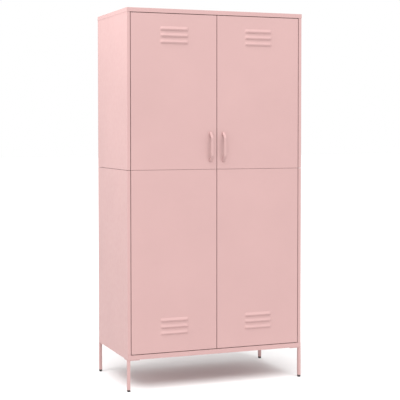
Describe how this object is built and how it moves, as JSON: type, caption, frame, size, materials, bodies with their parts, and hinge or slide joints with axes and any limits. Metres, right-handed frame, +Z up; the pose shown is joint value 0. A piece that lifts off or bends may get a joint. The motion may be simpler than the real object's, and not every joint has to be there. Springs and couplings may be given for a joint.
{
  "type": "locker cabinet",
  "caption": "Free-standing steel locker cabinet with full-height hinged doors, pressed louvre vents, bow handles, a hat shelf, a clothes rail and slim tube legs.",
  "frame": {"origin": "on the floor, under the middle of the whole object, handles included", "axes": "+Z up; the doors face -Y; +X to the right of someone looking at the doors"},
  "size_m": [0.9, 0.526, 1.8],
  "materials": {
    "painted_steel": "fine textured satin powder coat, dusty pink",
    "zinc_steel": "bright zinc plate",
    "chromed_steel": "polished",
    "white_nylon": "moulded, satin",
    "black_plastic": "moulded, fine texture",
    "grey_rubber": "matt"
  },
  "bodies": {
    "cabinet": {"top_panel": "painted_steel", "bottom_panel": "painted_steel", "bottom_hinge_rail": "painted_steel", "left_side_upper": "painted_steel", "left_side_lower": "painted_steel", "right_side_upper": "painted_steel", "right_side_lower": "painted_steel", "back_upper": "painted_steel", "back_lower": "painted_steel", "left_side_screw_front": "zinc_steel", "left_side_screw_rear": "zinc_steel", "right_side_screw_front": "zinc_steel", "right_side_screw_rear": "zinc_steel", "front_left_leg": "painted_steel", "front_left_leg_nut": "zinc_steel", "front_left_glide": "black_plastic", "rear_left_leg": "painted_steel", "rear_left_leg_nut": "zinc_steel", "rear_left_glide": "black_plastic", "front_right_leg": "painted_steel", "front_right_leg_nut": "zinc_steel", "front_right_glide": "black_plastic", "rear_right_leg": "painted_steel", "rear_right_leg_nut": "zinc_steel", "rear_right_glide": "black_plastic", "left_hinge_pin_top": "zinc_steel", "left_hinge_pin_bottom": "zinc_steel", "right_hinge_pin_top": "zinc_steel", "right_hinge_pin_bottom": "zinc_steel", "left_door_magnet": "white_nylon", "right_door_magnet": "white_nylon", "door_stop": "painted_steel", "left_door_buffer": "grey_rubber", "right_door_buffer": "grey_rubber", "hat_shelf": "painted_steel", "left_shelf_clip_front": "zinc_steel", "left_shelf_clip_rear": "zinc_steel", "right_shelf_clip_front": "zinc_steel", "right_shelf_clip_rear": "zinc_steel", "clothes_rail": "chromed_steel", "left_rail_bracket": "zinc_steel", "right_rail_bracket": "zinc_steel"},
    "left_door": {"left_door_upper": "painted_steel", "left_door_lower": "painted_steel", "left_door_screw_hinge": "zinc_steel", "left_door_screw_centre": "zinc_steel", "left_hinge_bush_top": "black_plastic", "left_hinge_bush_bottom": "black_plastic", "left_handle": "painted_steel", "left_handle_screw_upper": "zinc_steel", "left_handle_screw_lower": "zinc_steel"},
    "right_door": {"right_door_upper": "painted_steel", "right_door_lower": "painted_steel", "right_door_screw_hinge": "zinc_steel", "right_door_screw_centre": "zinc_steel", "right_hinge_bush_top": "black_plastic", "right_hinge_bush_bottom": "black_plastic", "right_handle": "painted_steel", "right_handle_screw_upper": "zinc_steel", "right_handle_screw_lower": "zinc_steel"}
  },
  "joints": [
    {"name": "left_door_hinge", "type": "hinge", "parent": "cabinet", "child": "left_door", "pos_m": [-0.415, -0.22995, 0.976], "axis": [0, 0, -1], "range_deg": [0, 110]},
    {"name": "right_door_hinge", "type": "hinge", "parent": "cabinet", "child": "right_door", "pos_m": [0.415, -0.22995, 0.976], "axis": [0, 0, 1], "range_deg": [0, 110]}
  ]
}
